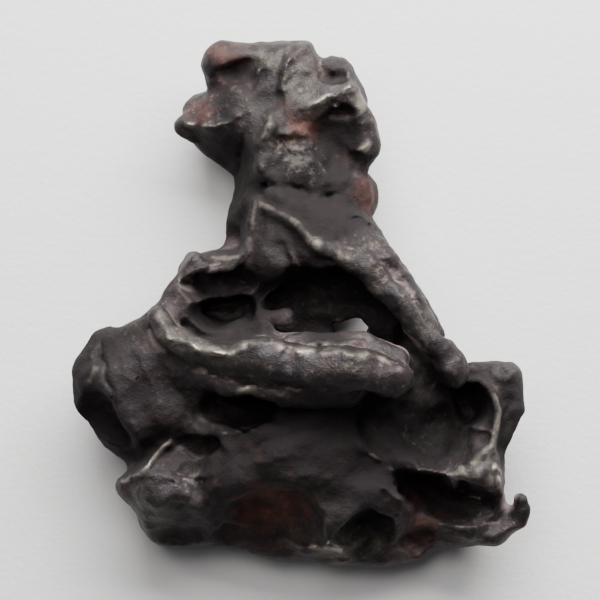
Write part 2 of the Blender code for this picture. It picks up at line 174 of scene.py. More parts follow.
# Hollows that grains left on the upper side: centre, radii, turn about Z in degrees.
HOLLOWS = {
    "head right socket": ((33.9, 48.5, 12.2), (1.5, 1.2, 3.3), 15),
    "head right floor": ((33.6, 45.4, 15.4), (3.2, 4.6, 6.8), 15),
    "neck plate": ((30.6, 42.4, 30), (9, 8.5, 19.2), 0),
    "under horn facet": ((20, 43, 16.5), (7.5, 5.9, 10.5), -35),
    "neck left facet": ((22.4, 41, 14.5), (3.9, 6.8, 9), 0),
    "horn cup": ((23.7, 52.4, 13.6), (3.6, 2, 5.3), 20),
    "face": ((26.5, 50, 19.5), (6, 3.6, 8.6), 20),
    "top right face": ((30.8, 51.4, 17), (3, 3.6, 6.2), 0),
    "triangle facet": ((28.3, 34.6, 17.5), (3.8, 5, 5.9), 0),
    "big cavity": ((34.4, 29.4, 12), (7.8, 3.5, 7.4), -19),
    "cavity floor": ((30.5, 29.2, 9), (4.4, 2.8, 4.6), 0),
    "cavity right": ((41.6, 24.2, 13.2), (2.2, 6.2, 8.6), 24),
    "left cavity": ((22.6, 28.9, 13), (3.9, 2, 9.8), 0),
    "fin shelf": ((22.6, 31.6, 14), (4.8, 2.4, 7.5), 4),
    "between cavities": ((26.4, 30.2, 12.5), (2.8, 2.6, 4.6), 0),
    "basin north": ((42.6, 20.6, 13.5), (3.6, 2.2, 7.3), 0),
    "hole": ((35, 27, 4), (1.6, 1.25, 12), 0),
    "lens cavity": ((23.8, 18.9, 13.4), (4.4, 1.9, 5.4), -4),
    "dark shelf": ((19.6, 15.3, 12.6), (2.5, 1, 3.8), 0),
    "block top facet": ((18.6, 14.1, 18.5), (4.4, 3.3, 8.7), -10),
    "block lower facet": ((17.2, 3.2, 26), (14, 9.2, 21), -4),
    "block left facet": ((11.4, 14.6, 17), (4.4, 3.4, 8.6), 35),
    "right basin": ((43, 17.4, 15), (5.8, 4.9, 9.6), 0),
    "basin shelf": ((39.5, 17, 14), (4.6, 3.2, 5.6), -41),
    "basin corner": ((46.6, 19.3, 12.6), (2.6, 3, 7.4), 0),
    "groove": ((43.8, 10.3, 13), (5.4, 2.7, 9.4), -22),
    "rust basin": ((26.9, 4.2, 15), (7, 8.2, 10.4), -3),
    "corner dark facet": ((48.4, 8.8, 15), (3.2, 3.2, 8.2), -10),
    "dark arch": ((37.1, 5.7, 10.2), (3.4, 4, 5.2), -8),
    "rusty notch": ((41.8, 5.4, 9), (2, 2, 5.2), 35),
    "wing pit": ((9.9, 17.8, 12), (4.6, 2.4, 5.9), -50),
}

# Hollows on the underside and the side walls.
UNDERSIDE_HOLLOWS = {
    "under middle": ((29, 15.2, -2.6), (8.4, 5.6, 6.2), -10),
    "under left plate": ((23.6, 27.6, -4.4), (4.6, 4.8, 6.4), 15),
    "under plate": ((32.6, 25.6, -4.6), (5.2, 4.2, 6.4), -20),
    "under right": ((41.8, 20.6, -3.6), (4.6, 4.6, 6.2), 20),
    "under wing": ((13.6, 20.6, -0.8), (3.8, 4.8, 6.4), -20),
    "under head": ((29.8, 50, -1.6), (5.6, 4.2, 7.2), 10),
    "under horn": ((21.6, 47.4, 0.2), (2.8, 2.6, 4.6), -35),
    "under neck": ((28.6, 42, -1.4), (4.4, 3.8, 6.6), 0),
    "under peak": ((30, 35.2, -2.6), (4.2, 3.2, 5.6), -20),
    "under shoulder": ((38.6, 33.2, -1.6), (2.4, 3, 4.2), -50),
    "window under arch": ((42, 30.2, 0.4), (6.6, 3.2, 3.6), 25),
    "under arm": ((17.6, 31.4, 1), (2.2, 3.4, 4), -40),
    "block side": ((11.2, 8.6, 2.2), (2.2, 3.6, 3.4), -35),
    "bottom side left": ((25, 3.4, 0.6), (4.4, 2.2, 2.6), -10),
    "bottom side right": ((36, 2.2, 0.6), (4.6, 2.2, 2.6), -5),
    "right side": ((52.2, 16.4, 3.4), (2.4, 4.4, 3.4), 10),
    "right top side": ((49, 25.8, 3.6), (3.4, 2.6, 3.8), -15),
    "wing side": ((7.4, 21.8, 3.2), (2.2, 4, 3), 5),
    "head top side": ((27, 57.2, 4.6), (4.8, 2.2, 3.2), 0),
    "head right side": ((39, 47.2, 4), (2.4, 3.8, 3.4), 0),
    "neck side": ((21.8, 38.6, 2.2), (2.2, 4, 3.2), 0),
    "shoulder side": ((44.4, 33, 4.4), (2, 4.4, 3.2), 35),
}

# Bars that bridge the hollows or stand proud of them.
BRIDGES = {
    "arch": [
        (31.8, 35.4, 14, 0.8), (33.8, 34.9, 14.4, 1), (36.2, 33.4, 14.8, 1.2), (38.8, 31, 15, 1.3),
        (40.8, 28.4, 14.6, 1.1), (42.4, 26, 13.8, 1.1), (44.1, 25, 13.4, 1.3), (44.9, 23.8, 13, 1.5),
        (45.3, 22.7, 12.2, 1.4),
    ],
    "arch outside": [
        (35.4, 35.7, 12.2, 2.2), (38.2, 33.2, 12.8, 2), (40.6, 30.2, 12.8, 1.6),
        (42.4, 27.2, 12.2, 1.2),
    ],
    "tongue": [
        (15.9, 28.4, 12.4, 1), (17, 26.4, 13.4, 1.2), (20, 24.8, 15, 1.25), (23, 24, 15.8, 1.4),
        (26, 24.4, 16.6, 1.85), (31, 23.4, 16.8, 2.1), (36, 23, 16.6, 2.2), (39.6, 22.2, 15.8, 1.7),
    ],
    "tongue back lip": [
        (29.5, 25.7, 14.2, 1), (33, 25.9, 14.2, 0.9), (36.5, 25.8, 14.2, 1.1), (39.6, 23.9, 14.4, 1.4),
    ],
    "bead": [
        (26.2, 28.2, 8.4, 0.6), (27.6, 28.2, 9.2, 0.6), (28.8, 28.3, 9.6, 0.85),
    ],
    "lower lobe": [
        (36.4, 11.2, 10.2, 1.5), (38.8, 9.8, 9.8, 1.2),
    ],
}

# Thin crests between hollows: how far each reaches down, how much it widens, points with radius.
CRESTS = {
    "tongue root": (3.4, 0.1, [
        (15.9, 28, 12.2, 0.8), (17, 26.4, 13.2, 0.9), (20, 24.8, 14.8, 1), (23, 24, 15.4, 1.2),
        (26, 24.1, 16, 1.5), (31, 23.2, 16, 1.7),
    ]),
    "peak right": (2.2, 0.5, [
        (25.6, 39.7, 10.8, 0.4), (27.5, 38.6, 11.6, 0.5), (29.8, 37.4, 12.3, 0.65),
        (31.8, 35.3, 13, 0.7),
    ]),
    "peak left": (2.6, 0.1, [
        (25.5, 39.7, 10.8, 0.6), (25.2, 37, 10.9, 0.5), (24.8, 35.2, 10.7, 0.5),
        (23.2, 33.3, 10.3, 0.45), (21, 32.9, 10.1, 0.4), (19.4, 33.8, 10.1, 0.6), (18.9, 33, 9.8, 0.6),
    ]),
    "basin right": (4, 0.2, [
        (46.4, 22, 10.2, 0.3), (47.8, 22.1, 10.5, 0.3), (48.8, 21.2, 10.7, 0.3),
        (49.5, 19.9, 10.9, 0.3), (49.9, 18.6, 11, 0.35), (49.4, 16.6, 11.1, 0.35),
        (49, 15.4, 11.2, 0.4), (47.2, 13.9, 11.4, 0.4), (45.2, 12.5, 11, 0.35),
    ]),
}

# Small notches cut last.
NOTCHES = {
    "knob groove": ((32.3, 55.6, 8), (1.05, 1.5, 9), 10),
    "knob hollow": ((33.4, 52.4, 10.6), (1.9, 1.2, 2), 4),
}

# Fine lines drawn on the upper skin: how wide each is, and its points with the height there, below 0 for a
# furrow. Squares.
LINES = {
    "horn band": (0.5, [(23, 50.9, 0.2), (24.6, 51.7, 0.4), (26.2, 52.9, 0.4), (27, 53.8, 0.2)]),
    "horn edge": (0.35, [
        (18.4, 47.5, 0.2), (20, 47.3, 0.45), (21.6, 47.3, 0.45), (23.2, 48, 0.4), (24.6, 48.8, 0.1),
    ]),
    "curl": (0.4, [
        (30.6, 55.4, 0.4), (29.2, 54.4, 0.55), (28.5, 53, 0.55), (28.3, 51.5, 0.45), (28.5, 50, 0.1),
    ]),
    "curl furrow": (0.4, [(29.8, 55.6, -0.1), (28.3, 54.4, -0.4), (27.7, 52.8, -0.4), (27.5, 51, -0.2)]),
    "groove": (0.3, [(31.9, 53.8, -0.2), (31.9, 53.3, -0.5), (32.2, 52.7, -0.3)]),
    "plate edge": (0.8, [
        (27.2, 48.2, 0.3), (26.6, 46.6, 0.5), (26.4, 44.8, 0.5), (26, 43.4, 0.6), (26.4, 42, 0.2),
    ]),
    "rough ring": (0.4, [
        (28.2, 46.4, 0.2), (29.4, 46.9, 0.4), (30.8, 46.4, 0.4), (31.2, 45.4, 0.2), (29.8, 44.9, 0.3),
        (28.2, 45.2, 0.3), (27.8, 44, 0.2),
    ]),
    "neck fold": (0.5, [
        (26.6, 41.6, -0.6), (28.4, 41.2, -0.4), (30.6, 40.8, -0.4), (33.2, 40.4, -0.6), (34.6, 41, -0.2),
    ]),
    "neck tear": (0.35, [(33.8, 38.4, 0.1), (35.4, 38.6, 0.4), (36.6, 38, 0.4), (37.4, 37, 0.2)]),
    "knob crest": (0.35, [(33.2, 54.2, 0.2), (34.4, 53.9, 0.3), (35, 52.9, 0.3), (35, 51.8, 0.1)]),
    "left furrow": (0.3, [(24.8, 48.2, -0.1), (24.4, 46, -0.3), (23.9, 43.6, -0.3), (23.8, 41, -0.1)]),
    "right rim": (0.4, [
        (30.4, 49, 0.1), (32, 49.8, 0.4), (33.6, 50.4, 0.5), (34.8, 51.2, 0.5), (35.8, 51, 0.3),
    ]),
    "right lip": (0.4, [(34.8, 45.2, 0.1), (36, 45, 0.35), (36.8, 45.4, 0.2)]),
    "lobe ridge": (0.6, [(10, 26.2, 0.1), (9.5, 24.8, 0.35), (9.2, 22.8, 0.35), (9.3, 21.2, 0.1)]),
    "wing furrow": (0.3, [(9.8, 26.2, -0.1), (10.2, 24.4, -0.45), (10.7, 22, -0.3), (11.6, 19.6, -0.1)]),
    "wing streak 1": (0.35, [(11.6, 25.6, 0.03), (12.6, 23, 0.12), (13.8, 20, 0.06)]),
    "wing streak 2": (0.3, [(13, 26.2, 0.03), (14.6, 23.2, 0.12), (16, 19.8, 0.12), (16.8, 17.4, 0.03)]),
    "wing streak 3": (0.35, [(15, 26.4, 0.03), (16.8, 23.6, 0.12), (18.4, 20.8, 0.09), (20, 19, 0)]),
    "wing streak 4": (0.3, [(12.2, 20.4, 0.03), (13.4, 17.8, 0.18), (14.6, 15, 0.06)]),
    "wing dip": (0.5, [(13.6, 24.4, -0.03), (15.2, 21.4, -0.12), (16.4, 18.4, -0.06)]),
    "tongue ridge": (0.5, [
        (16.3, 27.6, 0.2), (17.2, 26.2, 0.35), (20, 25.2, 0.3), (23, 24.5, 0.3), (24.6, 25.6, 0.3),
        (26.4, 26, 0.35), (28.5, 25.2, 0.3), (35, 24.7, 0.3), (38.6, 24.4, 0.3), (40.4, 22.8, 0.1),
    ]),
    "tongue fold": (0.4, [
        (20, 23.4, -0.1), (22.6, 22.2, -0.35), (25, 21.6, -0.35), (28, 21.2, -0.3), (33, 21.4, -0.2),
        (38, 21, -0.05),
    ]),
    "block ridge": (0.4, [
        (17.3, 16.4, 0.3), (16.2, 15.2, 0.6), (14.8, 13.6, 0.7), (13.9, 12.6, 0.5), (12, 11.8, 0.3),
    ]),
    "block shoulder": (0.4, [(13.8, 12.6, 0.2), (16, 12.4, 0.25), (18, 12.2, 0.35), (20.2, 12.4, 0.2)]),
    "block side": (0.5, [(21.4, 13.6, 0.1), (21.2, 10.6, 0.35), (21.2, 7.6, 0.3), (20.8, 6.3, 0.1)]),
    "lens lip": (0.3, [(22, 16.6, 0.1), (24, 16.8, 0.25), (26.2, 17.9, 0.25), (27.8, 18.8, 0.1)]),
    "basin left": (0.35, [(34.8, 16.9, 0), (36, 15.2, 0.3), (37.8, 14.2, 0.3), (39.6, 12.7, 0)]),
    "middle streak 1": (0.6, [(22.6, 12, 0.1), (25.5, 13.8, 0.3), (28.5, 14.4, 0.25), (31, 16, 0.1)]),
    "middle streak 2": (0.6, [(27, 11.8, 0.1), (30, 12.6, 0.3), (33, 12.2, 0.3), (36, 11.4, 0.1)]),
    "middle furrow": (0.5, [(23, 14.2, -0.1), (26, 15.6, -0.3), (29.5, 16.8, -0.3), (33, 17.4, -0.1)]),
    "lobe crest": (0.4, [
        (37.8, 11.3, 0.2), (39.4, 10.9, 0.5), (40.2, 9.8, 0.5), (40.1, 8.6, 0.3), (39.5, 7.9, 0.1),
    ]),
    "bottom": (0.3, [
        (28.5, 5.7, 0.2), (30, 5, 0.4), (32.8, 5.4, 0.4), (34.2, 5, 0.4), (36.6, 6.1, 0.2),
    ]),
    "bottom furrow": (0.35, [(29, 4.3, -0.1), (32, 4.1, -0.35), (36, 4, -0.35), (39, 4.3, -0.1)]),
    "arch streak": (0.35, [(34.4, 35.8, 0.15), (35.6, 35, 0.4), (37.2, 34.2, 0.3), (39, 32.4, 0.15)]),
    "arch furrow": (0.35, [(36.6, 35, -0.1), (39, 33, -0.35), (41.2, 30.2, -0.3), (42.8, 27.4, -0.1)]),
    "inner rib": (0.4, [(28.4, 36.2, 0.1), (28.9, 35.2, 0.4), (29.4, 34, 0.4), (30, 32.8, 0.2)]),
    "basin inner line": (0.3, [(45.4, 17.8, 0.05), (47.4, 17.3, 0.3), (49, 16.7, 0.3)]),
    "corner edge": (0.3, [(49.6, 15, 0.1), (49.8, 13, 0.4), (50, 11, 0.4), (50.3, 10.2, 0.1)]),
    "corner lower edge": (0.3, [(45.1, 12.3, 0.3), (45.6, 11, 0.4), (46.4, 10.2, 0.4), (47.8, 9.9, 0.3)]),
    "groove edge": (0.3, [(39.8, 13.2, 0.1), (42, 13, 0.3), (44.6, 12.6, 0.3)]),
    "ear furrow": (0.4, [(51, 21.4, -0.1), (50.8, 19, -0.35), (50.4, 16.4, -0.3), (49.9, 13.6, -0.1)]),
    "ear top": (0.35, [(47, 23.6, 0.1), (48.8, 23.5, 0.3), (50.8, 23.4, 0.3), (51.8, 22.6, 0.1)]),
    "tail streak": (0.4, [(44.2, 6.6, 0.1), (46.8, 6.3, 0.35), (49.6, 6.4, 0.3), (51.6, 7.2, 0.1)]),
    "tail furrow": (0.35, [(44.4, 7.6, -0.1), (47, 7.7, -0.35), (49.8, 7.9, -0.2)]),
}

# The drawn lines wander in short waves, and their height varies from knob to knob: the knobs' spacing in
# squares and the share of the height that varies.
LINE_WAVES = [
    ((2.1, 0.6, 0.0), 0.3, (0.03, 0.12, 0.0)),
    ((-0.7, 2.6, 0.0), 1.7, (0.12, 0.03, 0.0)),
    ((3.6, 2.1, 0.0), 4.4, (0.05, -0.06, 0.0)),
    ((-2.4, 4.1, 0.0), 2.9, (0.06, 0.05, 0.0)),
]
KNOB_SPACING = 0.8
KNOB_SHARE = 0.6
DRAWN_FROM = 4.0  # squares over the table, where the drawn lines start to show
DRAWN_FADE = 3.0

# Crests that handling has rubbed bright, partly real burnish and partly a painted highlight where crests and
# faces catch the light: how far the rubbing reaches, its strength, and points.
RUBBED_AND_PAINTED_HIGHLIGHT = {
    "tongue root": (0.6, 0.7, [(16, 28.5), (17.2, 26.6), (20, 25.3), (23, 24.8), (26.2, 25.9)]),
    "tongue": (1.2, 0.7, [(26.2, 25.9), (31, 25), (38, 24.3), (40.4, 22.6), (40.8, 21.2)]),
    "tongue end": (1.7, 0.6, [(38.2, 22.8), (40.2, 22)]),
    "tongue face": (2, 0.45, [(23, 22.6), (30, 22.2), (38, 21.9)]),
    "lobe ridge": (0.8, 0.4, [(9.9, 26), (9.3, 24), (9.3, 22)]),
    "arch": (1, 0.5, [(31, 36), (36, 33.6), (39.5, 30.2), (42, 26.4), (45, 23.2)]),
    "arch knob": (1.2, 0.7, [(44.2, 24.2), (45.2, 22.8)]),
    "peak right": (0.5, 0.6, [(26.2, 39.5), (29, 38.2), (31, 36.2), (31.8, 35.2)]),
    "peak left": (0.35, 0.4, [(25.6, 39.8), (25.3, 37.5), (24.8, 35.5)]),
    "fin": (0.3, 0.4, [(24, 34.3), (21.6, 34.2), (19.6, 34.9)]),
    "block ridge": (0.35, 0.7, [(17.2, 16), (15.6, 14.4), (14.2, 12.6), (12.2, 11.9)]),
    "basin right": (0.35, 0.4, [(49.4, 20.4), (49.9, 18.9), (49.4, 16.2), (49, 15)]),
    "corner block": (1.4, 0.6, [(46.6, 13), (49.2, 14), (49.6, 12.4)]),
    "basin left": (0.3, 0.4, [(35.2, 16.5), (36.2, 15.1), (37.8, 14.2), (39.6, 12.7)]),
    "bottom": (0.4, 0.5, [(28.5, 5.8), (30, 5.1), (34.2, 5.1), (36.6, 6.1)]),
    "plate edge": (0.9, 0.65, [(27.2, 47.8), (26.5, 45.5), (26.1, 43.4), (26.2, 42.4)]),
    "horn edge": (0.4, 0.25, [(18.6, 47.5), (21.6, 47.4), (24.2, 48.6)]),
    "horn top": (0.7, 0.1, [(20.6, 54.4), (24.6, 54.6)]),
    "horn band": (0.7, 0.3, [(23.2, 51), (26.6, 53.2)]),
    "face": (1.6, 0.12, [(25, 50.6), (28, 49.4), (31, 50.4)]),
    "right rim": (0.9, 0.55, [(31, 49.4), (33.4, 50.4), (34.8, 51.1)]),
    "head right edge": (1.1, 0.9, [(36, 50.4), (37.3, 48.4), (37.7, 46.4), (36.8, 45.2)]),
    "lens lip": (0.3, 0.5, [(22.4, 16.7), (25.4, 17.5), (27.6, 18.5)]),
}

# Small knobs, or pits below 0: place on the sheet, radius and height, in squares.
DOTS = [
    (27.1, 47.3, 0.9, 0.45),
    (30.7, 53, 0.7, 0.4),
    (33.3, 52.8, 0.4, 0.5),
    (33.6, 49.2, 0.35, 0.4),
    (26.9, 41.7, 0.8, -0.2),
    (29, 24.9, 0.35, -0.4),
    (31.8, 25.1, 0.35, -0.35),
    (32.7, 40.2, 0.55, -0.5),
    (29.8, 47.5, 1.3, -0.3),
]

# Spots on the skin: centre and radius in squares, and strength. The first are gritty, the next rusty.
ROUGH_SPOTS = [
    ((28.6, 44.4, 10), 2.6, 0.8),
    ((31.5, 43.5, 10), 3, 0.5),
    ((32.5, 38.5, 10), 3, 0.3),
    ((41, 16.6, 6), 4, 0.5),
    ((36, 34.2, 13), 3, 0.5),
    ((40.4, 29.6, 12), 3, 0.45),
    ((19.2, 12.2, 11), 1.4, 0.8),
    ((11.5, 19.5, 8), 3, 0.5),
]

RUST_SPOTS = [
    ((27, 8.5, 9), 4.5, 1),
    ((22.5, 54.6, 9), 2.6, 0.6),
    ((20.5, 48.6, 8), 2.2, 0.5),
    ((36.3, 40.4, 7), 3, 0.75),
    ((29.8, 47.6, 10), 2.2, 1),
    ((42.5, 10.6, 6), 4, 0.4),
    ((42, 5.5, 5), 2.5, 0.55),
]

# Where a dark brown-black film lies, in the same way. The spots are partly a real film and partly painted shade
# on faces that should look darker in this light.
STAIN_AND_PAINTED_SHADE_SPOTS = [
    ((27, 14.5, 11), 6.5, 1),
    ((34.5, 15.5, 10), 5.5, 1),
    ((24, 9, 7), 5.5, 0.5),
    ((33, 19, 10), 5, 0.9),
    ((43, 17, 7), 5, 0.4),
    ((43.5, 11, 5), 4, 0.9),
    ((33, 29.5, 7), 5, 0.3),
    ((38, 29, 7), 4, 0.3),
    ((41.5, 25, 7), 4, 0.3),
    ((37, 12.5, 9), 4, 0.7),
    ((32.5, 26.2, 15), 2.2, 0.8),
    ((46.6, 21.6, 10), 2, 0.9),
    ((22.5, 29.5, 6), 4.5, 0.5),
    ((23, 44.5, 8), 3.2, 1),
    ((23.6, 39.5, 7), 3.4, 1),
    ((34, 45.6, 9), 2.6, 0.9),
    ((33.4, 52.4, 9), 1.6, 0.7),
    ((14, 20, 9), 5, 0.8),
    ((14.2, 15.8, 9), 2.4, 0.9),
    ((26.8, 35, 9), 3, 0.6),
    ((36.4, 40.2, 6), 2.6, 0.9),
    ((27.5, 49.6, 10), 3.5, 0.3),
    ((11.5, 25, 8), 3, 0.7),
    ((20.5, 27.2, 9.5), 3, 0.9),
    ((24.5, 27.6, 9), 3, 1),
    ((8.8, 21, 7), 3.5, 0.9),
    ((11.5, 17, 7), 3, 0.9),
    ((30.5, 41, 10), 5, 1),
    ((33.5, 37.5, 11), 4, 1),
    ((50.5, 19.5, 9), 3.5, 0.7),
    ((50, 15.5, 8), 3, 0.7),
    ((23.4, 52.6, 9), 2.2, 0.9),
]

# How the values of the skin are found. Crests, fine and broad, by the metal at these depths in squares, and
# hollows, small and large, by the space at these heights, each with its share.
FINE_CREST = (0.35, 0.25)
BROAD_CREST = (1.1, 0.3)
SMALL_HOLLOW = (0.8, 0.5)
LARGE_HOLLOW = (2.2, 0.7)
UPWARD_START = 0.3  # how far below level a face can look and still be worn, and given a painted highlight, a little
STAIN_AND_SHADE_COVER = 0.6  # the share of its wear and painted highlight that a full stain, with its painted shade, hides
RUBBED_AND_HIGHLIGHT_FLAT = 0.4  # the share of the rubbing and its painted highlight that shows where nothing stands proud

MILLIMETRE = 0.001  # m
# Noises of the material: size of the grain in millimetres and how many finer ones it carries.
GRAINS = {"cloud": (5.0, 3.0), "mottle": (1.3, 5.0), "speck": (0.4, 4.0), "grain": (0.15, 2.0)}
GRAIN_ROUGHNESS = 0.6  # how strong each finer grain is beside the one before

# The oxide skin: colour, roughness and metallic share.
OXIDE = ("#2c292a", 0.5, 0.6)

# Finishes over it, in order: the same three values, then the strength, the total at which each starts and is
# full, and what its total adds up.
FINISHES = {
    "lighter oxide": ("#544f49", 0.42, 0.7, 0.85, 0.47, 0.62, {"cloud": 0.5, "mottle": 0.5}),
    "purple-brown film": ("#2b2023", 0.55, 0.4, 0.7, 0.2, 0.4, {"cloud": -0.4, "mottle": 0.9, "shelter": 0.25}),
    "flecks": ("#7b756b", 0.45, 0.7, 0.45, 0.54, 0.7, {"speck": 0.7, "mottle": 0.3, "grit": 0.12}),
    # The dirt finish is real dirt in the hollows, its pale colour also painted light that lifts the deep
    # hollows out of black.
    "dirt_and_painted_light": ("#6c5f5e", 0.9, 0.0, 0.9, 0.45, 1.0, {"shelter": 1.0, "mottle": 0.2}),
    # The stain finish is partly a real dark film and partly painted shade, laid on faces that should look
    # darker in this light.
    "stain_and_painted_shade": ("#171213", 0.85, 0.0, 1.0, 0.5, 1.25, {"stain_and_painted_shade": 0.8, "mottle": 0.9, "cloud": 0.3}),
    "rust": ("#54332b", 0.7, 0.0, 0.78, 0.9, 1.7, {"rust": 0.8, "mottle": 1.2, "speck": 0.4}),
    "orange rust": ("#80492c", 0.85, 0.0, 0.65, 1.7, 2.15, {"rust": 0.8, "mottle": 1.6, "speck": 0.4}),
    # The burnished finish is partly real burnish on crests and partly a painted highlight where they catch the
    # light.
    "burnished_and_painted_highlight": ("#867f75", 0.37, 1.0, 0.62, 0.65, 1.4, {"wear_and_painted_highlight": 1.1, "mottle": 0.8, "shelter": -0.3}),
    "bright specks": ("#85807a", 0.5, 1.0, 0.32, 1.12, 1.45, {"grit": 0.6, "mottle": 0.9, "speck": 0.7}),
}
SHEEN = 0.2  # specular level of every finish that isn't metal

# Relief too fine for the mesh, in millimetres of height for each noise.
RELIEF = {"mottle": 0.07, "speck": 0.085, "grain": 0.04}
WORN_AND_HIGHLIGHT_RELIEF = 0.3  # the share of it that is left where the wear and painted highlight are strongest

CARD_COLOUR = "#d7d5d4"
CARD_ROUGHNESS = 0.9
CARD_TOOTH = (0.5, 3.0)  # mm and how many finer grains, as for the metal
CARD_TOOTH_HEIGHT = 0.0001  # m
CARD_TOOTH_STRENGTH = 0.5
FLOOR_SIZE = 0.6  # m
FLOOR_GAP = 0.00002  # m

SENSOR_WIDTH = 36.0  # mm
CAMERA_HEIGHT = 0.6  # m
CLIP_START = 0.01  # m
VIEW_CENTRE = (30.0, 30.0)  # squares
VIEW_WIDTH = 60 * SQUARE  # m
VIEW_HEIGHT = 0.007  # m, height over the table at which the view has its width

# Place of each soft light in metres, its width and height, and its power in watts.
LIGHTS = {
    "window": ((0.03, 0.13, 0.11), (0.2, 0.1), 1.62),
    "ceiling": ((-0.05, 0.08, 0.22), (0.14, 0.14), 0.36),
}
LIGHT_TINT = (1.0, 0.995, 0.99)
WORLD_COLOUR = "#b9b9bb"
WORLD_STRENGTH = 0.2


def rotation(degrees):
    """Turn about Z as a 3 by 3 array whose columns are the turned axes."""
    angle = np.radians(degrees)
    c, s = np.cos(angle), np.sin(angle)
    return np.array([[c, -s, 0.0], [s, c, 0.0], [0.0, 0.0, 1.0]], np.float32)


def stretches(p, points, axes):
    """For each straight stretch of a line: its two ends, the share of the way along it, from 0 to 1, that is
    nearest to each point, and the step from there to the point. Only the first axes count."""
    points = np.array(points, np.float32)
    for a, b in zip(points[:-1], points[1:]):
        along = b[:axes] - a[:axes]
        t = np.clip((p[:, :axes] - a[:axes]) @ along / (along @ along), 0, 1)
        yield a, b, t, p[:, :axes] - a[:axes] - t[:, None] * along


def ball_distance(p, centre, radii, turn):
    """Distance to a stretched ball: a(a - 1)/b, where a is the length of the point over the radii in the ball's
    own axes, and b the length of the point over the squared radii."""
    radii = np.array(radii, np.float32)
    q = (p - np.array(centre, np.float32)) @ rotation(turn) / radii
    a = np.sqrt((q * q).sum(1))
    b = np.sqrt(((q / radii) ** 2).sum(1))
    return a * (a - 1) / np.maximum(b, TINY)


def ball_box(centre, radii, turn):
    """Lowest and highest corner of a stretched ball: each half side is the root sum of squares of its axes."""
    half = np.sqrt(((rotation(turn) * np.array(radii)) ** 2).sum(1))
    return np.array(centre) - half, np.array(centre) + half


def bar_distance(p, *points):
    """Distance to a round bar: on each stretch, the distance to the nearest point of its middle line, less the
    radius there, which runs evenly from end to end. The smallest over the stretches counts."""
    nearest = np.full(len(p), FAR, np.float32)
    for a, b, t, off in stretches(p, points, 3):
        nearest = np.minimum(nearest, np.sqrt((off * off).sum(1)) - a[3] - t * (b[3] - a[3]))
    return nearest


def bar_box(*points):
    """Lowest and highest corner of a bar: its points less and plus their radii."""
    points = np.array(points)
    return (points[:, :3] - points[:, 3:]).min(0), (points[:, :3] + points[:, 3:]).max(0)


def crest_distance(p, depth, widening, points):
    """Distance to a wall with a round top: across, it is the level distance to the line less the radius, which
    grows by the widening for each square below the top, down to the depth. Above the top it is round."""
    nearest = np.full(len(p), FAR, np.float32)
    for a, b, t, off in stretches(p, points, 2):
        above = p[:, 2] - a[2] - t * (b[2] - a[2])
        fall = np.clip(-above, 0, depth)
        level = np.sqrt((off * off).sum(1) + (above + fall) ** 2)
        distance = level - a[3] - t * (b[3] - a[3]) - widening * fall
        distance = np.where(fall > 0, distance / np.sqrt(1 + widening**2), distance)
        nearest = np.minimum(nearest, distance)
    return nearest


def crest_box(depth, widening, points):
    """Lowest and highest corner of a crest: its points less and plus their radii, wider by the widening times
    the depth, and lower by the depth."""
    points = np.array(points)
    wide = points[:, 3:] + np.array([[widening * depth, widening * depth, 0.0]])
    low = (points[:, :3] - wide).min(0)
    low[2] -= depth
    return low, (points[:, :3] + wide).max(0)


# Each kind of form: what gives its distance, and what gives its box.
BALL = (ball_distance, ball_box)
BAR = (bar_distance, bar_box)
CREST = (crest_distance, crest_box)


def united(a, b, blend):
    """The smaller of two distances, lowered where they are alike by a quarter of the blend times the square of
    how alike they are, so that the two surfaces run into each other."""
    alike = np.maximum(blend - np.abs(a - b), 0) / blend
    return np.minimum(a, b) - alike * alike * blend * 0.25


def near(p, box):
    """Which points a form with this box can change."""
    low, high = box
    inside = ((p > low - REACH) & (p < high + REACH)).all(1)
    return np.flatnonzero(inside)


def work_in(distance, p, kind, forms, blend, sign=1):
    """Unites forms of one kind with the metal, each at the points near its box. With the sign at -1 they are
    united with the space outside, whose distance has the other sign, and so are taken out of the metal."""
    measure, box = kind
    for form in forms.values():
        i = near(p, box(*form))
        distance[i] = sign * united(sign * distance[i], np.minimum(measure(p[i], *form), REACH), blend)


def wander(p, waves):
    """How far slow waves push the surface: the sum of each wave's reach times the sine of its phase."""
    push = np.zeros_like(p)
    for speed, start, reach in waves:
        push += np.outer(np.sin(p @ np.array(speed, np.float32) + start), np.array(reach, np.float32))
    return push


def web(p):
    """Distance to the main forms of the metal at points already moved back by the slow waves."""
    distance = np.full(len(p), REACH, np.float32)
    work_in(distance, p, BALL, MASSES, MASS_BLEND)
    work_in(distance, p, BAR, BARS, BAR_BLEND)
    moved = p - wander(p, HOLLOW_WAVES)
    work_in(distance, moved, BALL, HOLLOWS, HOLLOW_BLEND, -1)
    work_in(distance, moved, BALL, UNDERSIDE_HOLLOWS, HOLLOW_BLEND, -1)
    work_in(distance, p, BAR, BRIDGES, BRIDGE_BLEND)
    work_in(distance, p, CREST, CRESTS, CREST_BLEND)
    work_in(distance, p, BALL, NOTCHES, NOTCH_BLEND, -1)
    return distance


def hashed(cells, seed):
    """Three even random numbers from 0 to 1 for each whole-number cell: its three indices, each times a factor,
    and the seed are combined bit by bit, and then scrambled once more for each number."""
    mix = np.uint32(seed * SEED_FACTOR % 2**32)
    for column, factor in zip(cells.T, CELL_FACTORS):
        mix = mix ^ column.astype(np.int64).astype(np.uint32) * np.uint32(factor)
    numbers = []
    for _ in range(3):
        for shift, factor in SCRAMBLES:
            mix ^= mix >> np.uint32(shift)
            mix *= np.uint32(factor)
        numbers.append((mix >> np.uint32(8)).astype(np.float32) / 2**24)
    return np.stack(numbers, 1)


